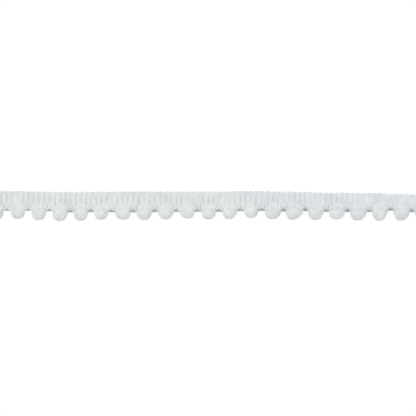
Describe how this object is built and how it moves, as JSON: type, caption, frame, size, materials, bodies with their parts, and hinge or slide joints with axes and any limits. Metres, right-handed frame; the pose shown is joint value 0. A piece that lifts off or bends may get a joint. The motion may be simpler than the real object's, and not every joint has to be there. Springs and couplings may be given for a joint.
{
  "type": "pompom fringe trim",
  "caption": "Straight cut length of trim: a looped braid heading, scalloped along one edge, with small cut-pile pompoms tied close along the other edge.",
  "frame": {"origin": "on the flat back of the heading, the face that is sewn or glued down, at mid length and mid width", "axes": "+X along the length, +Y towards the looped edge of the heading with the pompoms towards -Y, +Z out of the front"},
  "size_m": [0.1594, 0.0107, 0.0051],
  "materials": {
    "braid_yarn": "matt bulked yarn in hairpin loops with chain stitches",
    "pompom_pile": "matt soft cut pile"
  },
  "bodies": {
    "root": {"heading": "braid_yarn", "pompom_01": "pompom_pile", "pompom_02": "pompom_pile", "pompom_03": "pompom_pile", "pompom_04": "pompom_pile", "pompom_05": "pompom_pile", "pompom_06": "pompom_pile", "pompom_07": "pompom_pile", "pompom_08": "pompom_pile", "pompom_09": "pompom_pile", "pompom_10": "pompom_pile", "pompom_11": "pompom_pile", "pompom_12": "pompom_pile", "pompom_13": "pompom_pile", "pompom_14": "pompom_pile", "pompom_15": "pompom_pile", "pompom_16": "pompom_pile", "pompom_17": "pompom_pile", "pompom_18": "pompom_pile", "pompom_19": "pompom_pile", "pompom_20": "pompom_pile", "pompom_21": "pompom_pile"}
  },
  "joints": []
}
